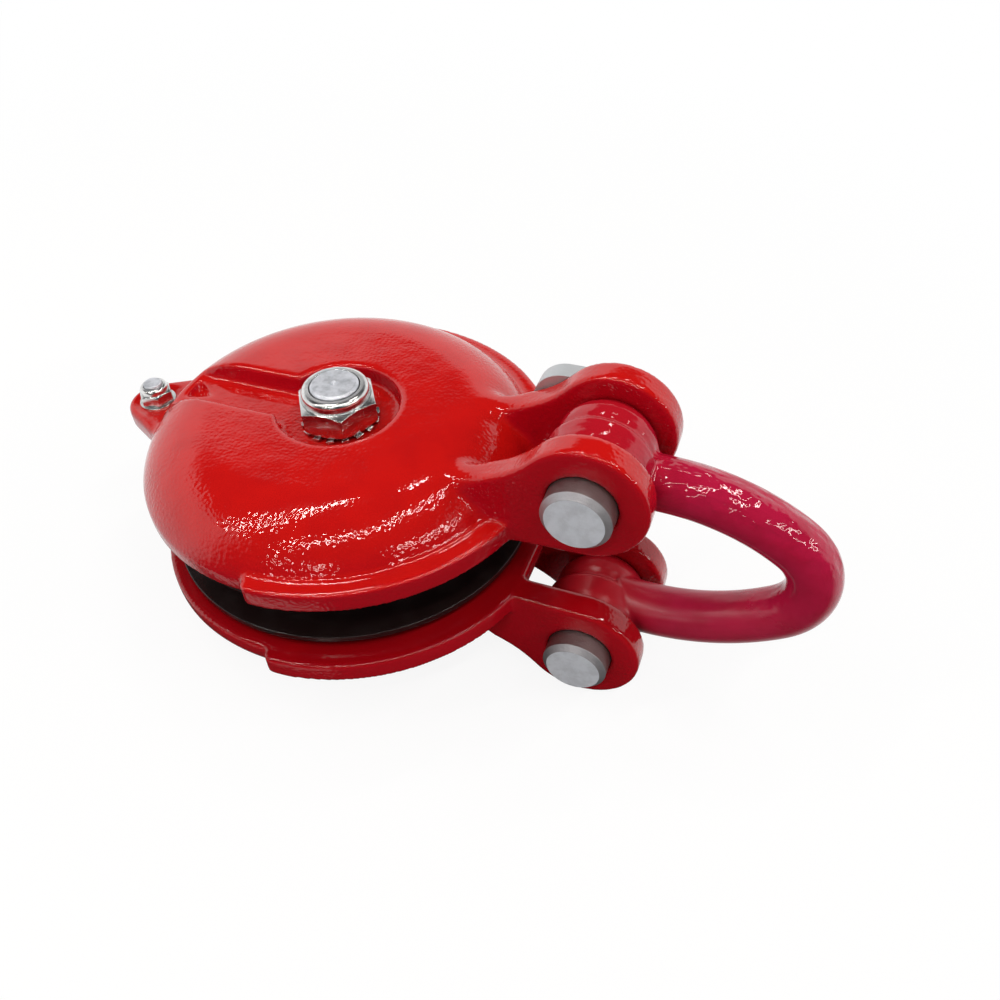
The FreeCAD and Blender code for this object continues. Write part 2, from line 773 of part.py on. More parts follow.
def link_pin():
    """Upper link pin, with the flat tongue that keeps it from turning or working out."""
    front = -ear_outer_y - pin_stand_front
    pin = cross_cylinder(pin_radius, front, keeper_back_y, pin_axis_x, pin_axis_z)
    end_edges = [edge for edge in pin.Edges if abs(edge.CenterOfMass.y - front) < tiny]
    pin = pin.makeChamfer(pin_chamfer, end_edges)
    tongue = cross_cylinder(pin_radius, keeper_y, keeper_back_y, keeper_axis_x, pin_axis_z)
    bridge = Part.makeBox(
        keeper_offset, keeper_thickness, pin_radius * 2,
        Vector(keeper_axis_x, keeper_y, pin_axis_z - pin_radius),
    )
    hole = cross_cylinder(keeper_bolt_radius + loose_fit, keeper_y, keeper_back_y, keeper_axis_x, pin_axis_z)
    return pin.fuse([tongue, bridge]).cut(hole).removeSplitter()


def keeper_washer():
    """Spring washer under the head of the keeper bolt."""
    low = keeper_back_y
    high = keeper_back_y + keeper_washer_thickness
    disc = cross_cylinder(keeper_washer_radius, low, high, keeper_axis_x, pin_axis_z)
    return disc.cut(cross_cylinder(keeper_bolt_radius + loose_fit, low, high, keeper_axis_x, pin_axis_z))


def keeper_bolt():
    """Hexagon bolt through the pin's tongue into the ear behind it."""
    seat = keeper_back_y + keeper_washer_thickness
    tip = keeper_hole_y + keeper_bolt_set_back
    shank = cross_cylinder(keeper_bolt_radius, tip, seat, keeper_axis_x, pin_axis_z)
    head = rounded_hexagon(keeper_bolt_flats, 0, keeper_bolt_head_height)
    head.rotate(ORIGIN, X_AXIS, -90)
    head.translate(Vector(keeper_axis_x, seat, pin_axis_z))
    return shank.fuse(head)


def link_centre_line():
    """Centre line of the link's bar, a small arc at the bow and a long arc down each leg, with its start."""
    tip_centre_x = bow_tip_x - bow_tip_radius
    half = bow_tip_half_angle
    join = Vector(tip_centre_x + bow_tip_radius * math.cos(half), 0, bow_tip_radius * math.sin(half))
    leg_centre = Vector(
        join.x - bow_leg_radius * math.cos(half), 0, join.z - bow_leg_radius * math.sin(half)
    )
    end_x = pin_axis_x + pin_radius / 2
    end_angle = math.acos((end_x - leg_centre.x) / bow_leg_radius)
    middle_angle = (end_angle + half) / 2
    points = []
    for angle in (end_angle, middle_angle):
        x = leg_centre.x + bow_leg_radius * math.cos(angle)
        z = leg_centre.z + bow_leg_radius * math.sin(angle)
        points.append(Vector(x, 0, z))
    end, middle = points
    low = [Vector(point.x, 0, -point.z) for point in (end, middle, join)]
    edges = [
        Part.Arc(end, middle, join).toShape(),
        Part.Arc(join, Vector(bow_tip_x, 0, 0), low[2]).toShape(),
        Part.Arc(low[2], low[1], low[0]).toShape(),
    ]
    tangent = Vector(-math.sin(end_angle), 0, math.cos(end_angle))
    return Part.Wire(edges), end, tangent


def link_eye():
    """Upper eye of the link, still without its bore: a drum with a crisp rim, a groove and a rounder drum."""
    end_y = ear_inner_y - loose_fit
    outline = [(-end_y, 0.0), (-end_y, eye_end_radius)]
    outline += eye_outline
    outline += [(end_y, eye_end_radius), (end_y, 0.0), (-end_y, 0.0)]
    points = [Vector(0, y, radius) for y, radius in outline]
    eye = revolved(lines(points), ORIGIN, Y_AXIS)
    eye.translate(Vector(pin_axis_x, 0, pin_axis_z))
    return eye


def shackle():
    """Link of the block: bent bar with an eye on each end."""
    path, start, tangent = link_centre_line()
    section = Part.Wire(Part.makeCircle(bar_radius, start, tangent))
    bar = path.makePipeShell([section], True, True)
    eye = link_eye()
    link = bar.fuse([eye, mirrored(eye)])
    bores = []
    for z in (pin_axis_z, -pin_axis_z):
        bores.append(cross_cylinder(pin_radius + running_fit, -ear_outer_y, ear_outer_y, pin_axis_x, z))
    return link.cut(bores)


def all_parts():
    """Every piece by its name."""
    return {
        "upper_cheek": upper_cheek(),
        "lower_cheek": mirrored(upper_cheek()),
        "sheave": sheave(),
        "sheave_bush": sheave_bush(),
        "inner_sleeve": inner_sleeve(),
        "upper_thrust_washer": thrust_washer(),
        "lower_thrust_washer": mirrored(thrust_washer()),
        "centre_bolt": centre_bolt(),
        "centre_nut": centre_nut(),
        "centre_nut_insert": centre_nut_insert(),
        "upper_lock_washer": lock_washer(),
        "lower_lock_washer": mirrored(lock_washer()),
        "tail_bolt": tail_bolt(),
        "tail_nut": tail_nut(),
        "tail_nut_insert": tail_nut_insert(),
        "upper_tail_washer": tail_washer(),
        "lower_tail_washer": mirrored(tail_washer()),
        "tail_distance_tube": tail_tube(),
        "shackle": shackle(),
        "upper_pin": link_pin(),
        "lower_pin": mirrored(link_pin()),
        "upper_keeper_bolt": keeper_bolt(),
        "lower_keeper_bolt": mirrored(keeper_bolt()),
        "upper_keeper_washer": keeper_washer(),
        "lower_keeper_washer": mirrored(keeper_washer()),
    }


def main():
    """Write one STEP file for each piece."""
    os.makedirs("parts", exist_ok=True)
    for name, shape in all_parts().items():
        shape.exportStep("parts/" + name + ".step")
        print(name, len(shape.Solids), round(shape.Volume), shape.isValid())


main()
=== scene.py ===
"""Looks of the snatch block: cast skins, enamels, plated steel, floor, lights and camera round its frame.

Everything is in metres in the frame of the CAD model. +Z is the sheave's axis, +X points to the link.
"""
import json
import math

import bpy
import numpy
from mathutils import Matrix, Vector


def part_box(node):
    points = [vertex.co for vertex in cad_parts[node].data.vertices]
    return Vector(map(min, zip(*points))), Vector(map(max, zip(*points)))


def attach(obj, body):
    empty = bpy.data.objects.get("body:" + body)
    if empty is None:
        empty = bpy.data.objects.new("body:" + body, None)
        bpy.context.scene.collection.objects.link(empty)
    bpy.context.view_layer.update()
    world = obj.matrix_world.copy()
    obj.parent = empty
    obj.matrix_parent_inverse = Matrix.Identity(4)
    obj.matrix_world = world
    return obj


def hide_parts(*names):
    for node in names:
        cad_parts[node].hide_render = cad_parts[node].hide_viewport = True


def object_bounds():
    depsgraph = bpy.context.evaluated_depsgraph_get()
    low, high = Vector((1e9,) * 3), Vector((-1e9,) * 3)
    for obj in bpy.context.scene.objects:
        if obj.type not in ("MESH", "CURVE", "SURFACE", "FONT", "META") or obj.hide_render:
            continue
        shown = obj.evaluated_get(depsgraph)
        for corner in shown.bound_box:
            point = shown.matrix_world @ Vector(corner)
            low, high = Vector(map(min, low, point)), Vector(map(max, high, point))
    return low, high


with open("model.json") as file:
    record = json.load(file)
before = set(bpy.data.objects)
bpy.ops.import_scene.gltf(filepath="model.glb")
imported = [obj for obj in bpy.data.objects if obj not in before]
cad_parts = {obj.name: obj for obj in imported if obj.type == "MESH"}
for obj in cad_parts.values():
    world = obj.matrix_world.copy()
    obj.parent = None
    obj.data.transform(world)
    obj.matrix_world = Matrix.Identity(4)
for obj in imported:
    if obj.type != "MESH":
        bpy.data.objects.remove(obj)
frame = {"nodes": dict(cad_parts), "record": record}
cad_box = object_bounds()
nodes = frame["nodes"]

# A step is four numbers: the two values between which it rises or falls, and what it gives before and after
# A noise is the width of its lumps in metres, its detail, and where needed its roughness

# Camera
camera_azimuth = math.radians(22.5)
camera_elevation = math.radians(43.9)
camera_roll = math.radians(-3.7)
camera_distance = 0.5692
camera_target = Vector((0.0244, 0.1084, -0.1040))
camera_lens = 35.06
sensor_width = 36.0

# Level directions: from the camera to the backdrop, and to the camera's right
backdrop_way = (-math.sin(camera_azimuth), math.cos(camera_azimuth), 0.0)
right_way = (math.cos(camera_azimuth), math.sin(camera_azimuth), 0.0)

# Backdrop and room
white = (1.0, 1.0, 1.0)
black = (0.0, 0.0, 0.0)
room_colour = (0.040, 0.040, 0.044)
backdrop_strength = 1.0
backdrop_start = (-0.5, -0.2, 0.0, 1.0)
backdrop_top = (0.56, 0.66, 1.0, 0.0)
lower_top_at_right = (-0.20, -0.08, 0.0, 0.05)

# Floor
floor_radius = 8.0
floor_corners = 96
floor_bounce = (0.40, 0.40, 0.40)
beside_block = (0.10, 0.13, 0.0, 1.0)
shadow_fade = (0.25, 0.7, 0.9, 1.0)

# Floor in front of the block as its gloss shows it: dim, with one bright strip
strip_front = (-0.158, -0.146, 0.0, 1.0)
strip_back = (-0.122, -0.110, 1.0, 0.0)
strip_right = (0.024, 0.036, 1.0, 0.0)
strip_shade = (0.0, 1.0, 0.05, 0.60)

# Ceiling lamps: the turns of each row, and lower windows: the ends of each
lamp_colour = (1.0, 0.97, 0.93)
lamp_height = 1.9
lamp_width = 0.05
lamp_radiance = 45.0
lamp_rows = (
    ((-1.90, -1.60), (-0.85, -0.72), (-0.36, 0.50)),
    ((-0.50, -2.00), (0.87, -0.73), (1.28, 0.60)),
    ((0.15, 0.65), (0.45, 1.05)),
)
window_width = 0.13
window_radiance = 18.0
windows = (
    ((-0.85, -2.90, 1.33), (-0.40, -2.95, 1.33)),
    ((0.30, -2.95, 1.15), (0.75, -2.90, 1.15)),
    ((2.30, -1.90, 1.45), (2.92, -0.67, 1.20)),
    ((2.92, -0.67, 1.20), (3.00, 0.50, 1.05)),
)

# Both red enamels
gloss_patches = (0.006, 3.0)
gloss_step = (0.3, 0.7, 0.05, 0.09)
# Reach and samples of the painted shade in corners and gaps
corner_shade_reach = 0.03
corner_shade_samples = 6

# Enamel of the castings
# Painted light and shade: top faces painted lighter and warmer, sides deeper and cooler, the lower cheek's
# top faces painted shaded
red_painted_lit_top = (0.60, 0.0065, 0.0050)
red_painted_shade_sides = (0.50, 0.0030, 0.0120)
red_deep = (0.40, 0.0025, 0.0045)
red_shaded = (0.33, 0.0020, 0.0060)
# Painted shade in the corners and gaps of the castings
red_painted_corner_shade = (0.20, 0.0010, 0.0022)
painted_light_facing = (0.1, 0.8, 0.0, 1.0)
lower_half = (-0.012, 0.012, 1.0, 0.0)
cast_mottle = (0.012, 4.0)
cast_mottle_step = (0.35, 0.75, 0.0, 0.3)
cast_corner_shade_step = (0.05, 0.35, 0.0, 1.0)
cast_patches = (0.022, 2.0)
cast_patch_step = (0.38, 0.62, 0.6, 1.0)
calm_crown = (0.91, 0.975, 1.0, 0.25)
cast_lumps = (0.0080, 1.0)
cast_lump_depth = 0.00010
cast_grain = (0.0014, 0.0)
cast_grain_depth = 0.00019

# Enamel of the link
link_red = (0.50, 0.0105, 0.0550)
link_red_deep = (0.38, 0.0046, 0.0280)
eye_red = (0.48, 0.0070, 0.0180)
# Painted shade in the corners and gaps of the link
link_painted_corner_shade = (0.16, 0.0012, 0.0050)
link_mottle = (0.010, 4.0)
link_mottle_step = (0.35, 0.75, 0.0, 0.5)
link_corner_shade_step = (0.05, 0.75, 0.0, 1.0)
bow_start = (0.118, 0.150, 0.0, 1.0)
dull_lower_leg = (-0.022, 0.004, 0.24, 0.0)

# Strength of the link's wrinkles by height, by place along X and by how far the surface faces up
wrinkles_by_height = (-0.025, 0.005, 0.15, 1.0)
wrinkles_by_place = (0.120, 0.136, 0.4, 1.0)
wrinkles_by_facing = (0.1, 0.5, 0.15, 1.0)

# Layers of the link's wrinkles: width, detail, depth, and how many times finer along X, Y and Z
link_wrinkles = (
    (0.0042, 1.5, 0.0013, (0.28, 1.0, 0.28)),
    (0.013, 0.5, 0.0018, None),
    (0.005, 1.5, 0.0007, None),
)

# Paint of the sheave
black_paint = (0.012, 0.006, 0.006)
black_paint_worn = (0.020, 0.013, 0.013)
wear = (0.010, 5.0)
wear_step = (0.4, 0.8, 0.0, 1.0)
black_patches = (0.012, 2.0)
black_gloss_step = (0.3, 0.7, 0.12, 0.2)
black_lumps = (0.006, 1.0)
black_lump_depth = 0.0001
sheave_edge = 0.0008

# All metals
metal_edge = 0.0004
edge_samples = 6
plating_clouds = (0.005, 5.0, 0.6)
plating_step = (0.35, 0.7, 0.0, 1.0)
scratch_lines = (0.004, 6.0, 0.7)
scratch_limits = (0.3, 0.7)
scratch_depth_share = 0.7
grain_detail = 3.0
grain_roughness = 0.7

# Each metal; scratch is how many times finer its scratches are along X, Y and Z
metals = {
    "bronze": {
        "colour": (0.55, 0.33, 0.12), "dull_colour": (0.40, 0.23, 0.09), "metallic": 1.0,
        "smooth": 0.2, "rough": 0.4, "grain": 0.0008, "grain_depth": 0.00002, "scratch": (1, 1, 12),
    },
    "hardened_steel": {
        "colour": (0.45, 0.45, 0.46), "dull_colour": (0.33, 0.33, 0.34), "metallic": 1.0,
        "smooth": 0.15, "rough": 0.3, "grain": 0.0006, "grain_depth": 0.00001, "scratch": (1, 1, 14),
    },
    "bright_zinc": {
        "colour": (0.80, 0.80, 0.79), "dull_colour": (0.62, 0.62, 0.62), "metallic": 1.0,
        "smooth": 0.13, "rough": 0.28, "grain": 0.0009, "grain_depth": 0.00001, "scratch": (1, 1, 10),
    },
    "matt_zinc": {
        "colour": (0.78, 0.82, 0.89), "dull_colour": (0.66, 0.69, 0.75), "metallic": 0.25,
        "smooth": 0.34, "rough": 0.55, "grain": 0.0010, "grain_depth": 0.00016, "scratch": (1, 8, 1),
    },
    "turned_zinc": {
        "colour": (0.80, 0.82, 0.88), "dull_colour": (0.48, 0.50, 0.54), "metallic": 0.65,
        "smooth": 0.28, "rough": 0.45, "grain": 0.0009, "grain_depth": 0.00016, "scratch": (1, 1, 1),
    },
}

# Link pins: a darker shank in front of the tongue, and a matt plated front end
dark_shank = (0.28, 0.25, 0.25)
tongue_plated = (0.60, 0.62, 0.64)
before_tongue = (0.0272, 0.0280, 1.0, 0.0)
faces_front = (-0.9, -0.6, 1.0, 0.0)
pin_metallic = (0.0, 1.0, 0.6, 0.95)
front_end_less_metallic = 0.87

# Nylon
nylon_dark = (0.035, 0.034, 0.036)
nylon_pale = (0.06, 0.058, 0.06)
nylon_clouds = (0.002, 4.0)
nylon_step = (0.3, 0.7, 0.0, 1.0)
nylon_roughness = 0.42
nylon_depth = 0.00003

# Nodes whose finish isn't the one of their slot
own_finishes = {
    "centre_bolt": "turned_zinc",
    "tail_bolt": "turned_zinc",
    "upper_pin": "pin_zinc",
    "lower_pin": "pin_zinc",
}

# Skins of the castings and of the forging
sharp_angle = math.radians(30)
cheek_voxel = 0.00105
link_voxel = 0.0008
half_step = 0.5
even_rounds = 2
hollow_rounds = 6
pin_fit = 0.00008

# Share of a voxel that a vertex lies below its neighbours where a corner counts as fully hollow
full_hollow = 0.04

# Share of a bore's radius within which nothing is pushed back
bore_core = 0.5

# Roots of the arms, where they leave the dome
root_place = (0.055, 0.022)
root_reach = 0.020
root_rounds = 60
arm_drop = 0.0016

# How fast the smoothing of a root grows from its edge to its middle, where it is full
root_growth = 1.5

# Places are rounded to this many digits before the resting plane is looked for
place_digits = 4


def principled(tree):
    """The principled shader of a material's tree."""
    return next(node for node in tree.nodes if node.type == "BSDF_PRINCIPLED")


def node_tree(name):
    """New material with its principled shader; gives the material, its tree and the shader."""
    material = bpy.data.materials.new(name)
    material.use_nodes = True
    return material, material.node_tree, principled(material.node_tree)


def add(tree, kind, **settings):
    """New node with its settings; names of inputs are given with underscores for spaces."""
    node = tree.nodes.new(kind)
    for key, value in settings.items():
        if hasattr(node, key):
            setattr(node, key, value)
        else:
            node.inputs[key.replace("_", " ")].default_value = value
    return node


def object_place(tree):
    """Place on the object in its own coordinates."""
    return add(tree, "ShaderNodeTexCoord").outputs["Object"]


def separate(tree, vector):
    """The three components of a vector."""
    node = tree.nodes.new("ShaderNodeSeparateXYZ")
    tree.links.new(vector, node.inputs["Vector"])
    return node.outputs["X"], node.outputs["Y"], node.outputs["Z"]


def object_facing(tree):
    """How far the surface faces along each of the object's own axes."""
    return separate(tree, add(tree, "ShaderNodeTexCoord").outputs["Normal"])


def maths(tree, operation, *values):
    """Result of a maths node; each value is a number or a socket."""
    node = add(tree, "ShaderNodeMath", operation=operation)
    for socket, value in zip(node.inputs, values):
        if isinstance(value, (int, float)):
            socket.default_value = value
        else:
            tree.links.new(value, socket)
    return node.outputs["Value"]


def noise(tree, place, feature, detail, roughness=0.5, finer=None):
    """Noise whose lumps are about one feature wide, or so many times finer along X, Y and Z."""
    if finer is not None:
        mapping = add(tree, "ShaderNodeMapping", Scale=finer)
        tree.links.new(place, mapping.inputs["Vector"])
        place = mapping.outputs["Vector"]
    node = add(tree, "ShaderNodeTexNoise", Scale=1.0 / feature, Detail=detail, Roughness=roughness)
    tree.links.new(place, node.inputs["Vector"])
    return node.outputs["Fac"]


def ramp(tree, value, step):
    """Smooth step of a value."""
    low, high, before, after = step
    node = add(
        tree, "ShaderNodeMapRange", interpolation_type="SMOOTHSTEP",
        From_Min=low, From_Max=high, To_Min=before, To_Max=after,
    )
    tree.links.new(value, node.inputs["Value"])
    return node.outputs["Result"]


def mix_colour(tree, factor, first, second):
    """Mix of two colours, each a tuple or a socket."""
    node = add(tree, "ShaderNodeMix", data_type="RGBA")
    tree.links.new(factor, node.inputs["Factor"])
    for key, value in (("A", first), ("B", second)):
        socket = next(s for s in node.inputs if s.name == key and s.type == "RGBA")
        if isinstance(value, tuple):
            socket.default_value = (*value, 1.0)
        else:
            tree.links.new(value, socket)
    return next(s for s in node.outputs if s.type == "RGBA")


def mix_shader(tree, factor, first, second):
    """Mix of two shaders."""
    node = tree.nodes.new("ShaderNodeMixShader")
    for socket, value in zip(node.inputs, (factor, first, second)):
        tree.links.new(value, socket)
    return node.outputs["Shader"]


def bump(tree, height, depth, before=None, strength=None):
    """Bump of a height field, depth in metres, on top of an earlier normal."""
    node = add(tree, "ShaderNodeBump", Distance=depth)
    tree.links.new(height, node.inputs["Height"])
    if before is not None:
        tree.links.new(before, node.inputs["Normal"])
    if strength is not None:
        tree.links.new(strength, node.inputs["Strength"])
    return node.outputs["Normal"]


def eased_edges(tree, radius):
    """Normal that rounds every sharp edge of the solid by a small radius."""
    return add(tree, "ShaderNodeBevel", samples=edge_samples, Radius=radius).outputs["Normal"]


def painted_corner_shade(tree, colour, dark, step):
    """Colour with painted shade: darker in deep corners and gaps, where shade falls."""
    node = add(tree, "ShaderNodeAmbientOcclusion", samples=corner_shade_samples, Distance=corner_shade_reach)
    return mix_colour(tree, ramp(tree, node.outputs["AO"], step), dark, colour)


def uneven_gloss(tree, place):
    """Roughness of the red enamels, which changes a little from patch to patch."""
    return ramp(tree, noise(tree, place, *gloss_patches), gloss_step)


def cast_enamel():
    """Thick gloss red over cast skin, with painted light and shade: painted lighter on top, deeper and
    cooler on the sides, painted shade on the lower cheek's top faces and in corners.
    """
    material, tree, shader = node_tree("cast_enamel")
    place = object_place(tree)
    _, _, height = separate(tree, place)
    _, _, facing_up = object_facing(tree)
    # Painted light on faces turned up, painted shade on the sides and on the lower cheek's top faces
    painted_light_mask = ramp(tree, facing_up, painted_light_facing)
    colour = mix_colour(tree, painted_light_mask, red_painted_shade_sides, red_painted_lit_top)
    shaded = maths(tree, "MULTIPLY", painted_light_mask, ramp(tree, height, lower_half))
    colour = mix_colour(tree, shaded, colour, red_shaded)
    mottle = ramp(tree, noise(tree, place, *cast_mottle), cast_mottle_step)
    colour = mix_colour(tree, mottle, colour, red_deep)
    # Painted shade darkens the colour in corners and gaps
    tree.links.new(painted_corner_shade(tree, colour, red_painted_corner_shade, cast_corner_shade_step), shader.inputs["Base Color"])
    tree.links.new(uneven_gloss(tree, place), shader.inputs["Roughness"])
    patches = ramp(tree, noise(tree, place, *cast_patches), cast_patch_step)
    strength = maths(tree, "MULTIPLY", patches, ramp(tree, facing_up, calm_crown))
    normal = bump(tree, noise(tree, place, *cast_lumps), cast_lump_depth)
    normal = bump(tree, noise(tree, place, *cast_grain), cast_grain_depth, normal, strength)
    tree.links.new(normal, shader.inputs["Normal"])
    return material


def link_enamel():
    """Gloss crimson over forged steel, redder on the eyes, with painted shade in corners and wrinkles on
    top of the bar.
    """
    material, tree, shader = node_tree("link_enamel")
    place = object_place(tree)
    along, _, height = separate(tree, place)
    _, _, facing_up = object_facing(tree)
    mottle = ramp(tree, noise(tree, place, *link_mottle), link_mottle_step)
    colour = mix_colour(tree, mottle, link_red, link_red_deep)
    colour = mix_colour(tree, ramp(tree, along, bow_start), eye_red, colour)
    # Painted shade darkens the colour in corners and gaps
    tree.links.new(painted_corner_shade(tree, colour, link_painted_corner_shade, link_corner_shade_step), shader.inputs["Base Color"])
    rough = maths(tree, "ADD", uneven_gloss(tree, place), ramp(tree, height, dull_lower_leg))
    tree.links.new(rough, shader.inputs["Roughness"])
    upper = ramp(tree, height, wrinkles_by_height)
    upper = maths(tree, "MULTIPLY", upper, ramp(tree, along, wrinkles_by_place))
    strength = maths(tree, "MULTIPLY", upper, ramp(tree, facing_up, wrinkles_by_facing))
    normal = None
    for width, detail, depth, finer in link_wrinkles:
        wrinkles = noise(tree, place, width, detail, finer=finer)
        normal = bump(tree, wrinkles, depth, normal, strength)
    tree.links.new(normal, shader.inputs["Normal"])
    return material


def black_enamel():
    """Black gloss paint of the sheave."""
    material, tree, shader = node_tree("black_enamel")
    place = object_place(tree)
    worn = ramp(tree, noise(tree, place, *wear), wear_step)
    tree.links.new(mix_colour(tree, worn, black_paint, black_paint_worn), shader.inputs["Base Color"])
    rough = ramp(tree, noise(tree, place, *black_patches), black_gloss_step)
    tree.links.new(rough, shader.inputs["Roughness"])
    edges = eased_edges(tree, sheave_edge)
    normal = bump(tree, noise(tree, place, *black_lumps), black_lump_depth, edges)
    tree.links.new(normal, shader.inputs["Normal"])
    return material


def metal(name, colour, dull_colour, metallic, smooth, rough, grain, grain_depth, scratch):
    """Plated or turned metal with cloudy plating, fine grain and scratches."""
    material, tree, shader = node_tree(name)
    shader.inputs["Metallic"].default_value = metallic
    place = object_place(tree)
    cloud = ramp(tree, noise(tree, place, *plating_clouds), plating_step)
    tree.links.new(mix_colour(tree, cloud, colour, dull_colour), shader.inputs["Base Color"])
    lines = noise(tree, place, *scratch_lines, finer=scratch)
    tree.links.new(ramp(tree, lines, (*scratch_limits, smooth, rough)), shader.inputs["Roughness"])
    fine = noise(tree, place, grain, grain_detail, grain_roughness)
    normal = bump(tree, fine, grain_depth, eased_edges(tree, metal_edge))
    normal = bump(tree, lines, grain_depth * scratch_depth_share, normal)
    tree.links.new(normal, shader.inputs["Normal"])
    return material


def pin_zinc(plated):
    """Finish of the link pins, made from the matt plating of their front end."""
    material = plated.copy()
    material.name = "pin_zinc"
    tree = material.node_tree
    shader = principled(tree)
    _, across, _ = separate(tree, object_place(tree))
    _, facing_back, _ = object_facing(tree)
    shank = ramp(tree, across, before_tongue)
    end = maths(tree, "MULTIPLY", ramp(tree, facing_back, faces_front), shank)
    less = maths(tree, "MULTIPLY", end, front_end_less_metallic)
    metallic = maths(tree, "SUBTRACT", ramp(tree, shank, pin_metallic), less)
    tree.links.new(metallic, shader.inputs["Metallic"])
    plating = shader.inputs["Base Color"].links[0].from_socket
    body = mix_colour(tree, shank, tongue_plated, dark_shank)
    tree.links.new(mix_colour(tree, end, body, plating), shader.inputs["Base Color"])
    return material


def nylon():
    """Dark nylon of the nuts' locking rings."""
    material, tree, shader = node_tree("nylon")
    cloud = ramp(tree, noise(tree, object_place(tree), *nylon_clouds), nylon_step)
    tree.links.new(mix_colour(tree, cloud, nylon_dark, nylon_pale), shader.inputs["Base Color"])
    shader.inputs["Roughness"].default_value = nylon_roughness
    tree.links.new(bump(tree, cloud, nylon_depth), shader.inputs["Normal"])
    return material


def make_finishes():
    """Every finish under its name."""
    finishes = {name: metal(name, **look) for name, look in metals.items()}
    finishes["red_enamel"] = cast_enamel()
    finishes["link_enamel"] = link_enamel()
    finishes["black_enamel"] = black_enamel()
    finishes["pin_zinc"] = pin_zinc(finishes["matt_zinc"])
    finishes["nylon"] = nylon()
    return finishes


def dress(obj, material):
    """Give an object one material."""
    obj.data.materials.clear()
    obj.data.materials.append(material)


def dress_nodes(finishes):
    """Give every CAD node its own finish, or else the one of its slot in the record."""
    for subpart in frame["record"]["subparts"]:
        name = subpart["node"]
        dress(nodes[name], finishes[own_finishes.get(name, subpart["material_slot"])])


def shade_smooth(mesh):
    """Smooth shading on every face of a mesh."""
    for polygon in mesh.polygons:
        polygon.use_smooth = True


def voxel_copy(node, voxel):
    """Mesh of a CAD node rebuilt from voxels; the node itself stays as it is."""
    rough = bpy.data.objects.new("rough", node.data.copy())
    bpy.context.scene.collection.objects.link(rough)
    modifier = rough.modifiers.new("voxels", "REMESH")
    modifier.mode = "VOXEL"
    modifier.voxel_size = voxel
    graph = bpy.context.evaluated_depsgraph_get()
    mesh = bpy.data.meshes.new_from_object(rough.evaluated_get(graph))
    bpy.data.objects.remove(rough)
    return mesh


def vectors(items, name):
    """One vector for each vertex of a mesh, as rows of an array."""
    values = numpy.empty(len(items) * 3, dtype=numpy.float32)
    items.foreach_get(name, values)
    return values.reshape(-1, 3).astype(numpy.float64)


def edge_ends(mesh):
    """First and second vertex of every edge of a mesh, as two rows."""
    ends = numpy.empty(len(mesh.edges) * 2, dtype=numpy.int32)
    mesh.edges.foreach_get("vertices", ends)
    return ends.reshape(-1, 2).T


def neighbour_step(places, ends):
    """Step from each vertex to the middle of its neighbours."""
    count = len(places)
    first, second = ends
    degree = numpy.bincount(first, minlength=count) + numpy.bincount(second, minlength=count)
    total = numpy.empty_like(places)
    for axis in range(3):
        total[:, axis] = numpy.bincount(first, places[second, axis], count)
        total[:, axis] += numpy.bincount(second, places[first, axis], count)
    return total / degree[:, None] - places


def soften(places, ends, rounds, share):
    """Smooth the places; share is one number, or one for each vertex."""
    share = numpy.broadcast_to(share, len(places))[:, None]
    for _ in range(rounds):
        places = places + neighbour_step(places, ends) * share
    return places


def fill_hollows(places, normals, ends, voxel):
    """Move only the vertices that lie in a hollow corner, out toward their neighbours."""
    for _ in range(hollow_rounds):
        step = neighbour_step(places, ends)
        hollow = numpy.clip((step * normals).sum(1) / (voxel * full_hollow), 0.0, 1.0)
        places = places + step * hollow[:, None] * half_step
    return places


def soften_root(places, ends, root):
    """Smooth the surface round the root of an arm, most in its middle."""
    near = 1.0 - numpy.linalg.norm(places - root, axis=1) / root_reach
    return soften(places, ends, root_rounds, numpy.clip(near * root_growth, 0.0, 1.0) * half_step)


def open_bores(places, bore_x, bore_z, bore_radius):
    """Push back to its radius what smoothing left inside a bore along Y."""
    away = places[:, [0, 2]] - (bore_x, bore_z)
    reach = numpy.hypot(away[:, 0], away[:, 1])
    inside = (reach < bore_radius) & (reach > bore_radius * bore_core)
    places[inside, 0] = bore_x + away[inside, 0] / reach[inside] * bore_radius
    places[inside, 2] = bore_z + away[inside, 1] / reach[inside] * bore_radius
    return places


def soft_skin(node_name, voxel, bores, roots=()):
    """Skin of a CAD node with its edges worn and its hollow corners filled."""
    mesh = voxel_copy(nodes[node_name], voxel)
    ends = edge_ends(mesh)
    normals = vectors(mesh.vertices, "normal")
    places = soften(vectors(mesh.vertices, "co"), ends, even_rounds, half_step)
    places = fill_hollows(places, normals, ends, voxel)
    for root in roots:
        places = soften_root(places, ends, root)
    for bore in bores:
        places = open_bores(places, *bore)
    mesh.vertices.foreach_set("co", places.astype(numpy.float32).ravel())
    mesh.update()
    shade_smooth(mesh)
    skin = bpy.data.objects.new(node_name + "_skin", mesh)
    bpy.context.scene.collection.objects.link(skin)
    return skin


def pin_bore(name):
    """Place and radius of the bore that holds a link pin: x, z and radius."""
    low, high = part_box(name)
    radius = (high.z - low.z) / 2
    return high.x - radius, (low.z + high.z) / 2, radius + pin_fit


def arm_top():
    """Height of the arms' tops where they leave the dome, just under the crown."""
    crown = max(vertex.co.z for vertex in nodes["upper_cheek"].data.vertices if vertex.co.x < 0)
    return crown - arm_drop


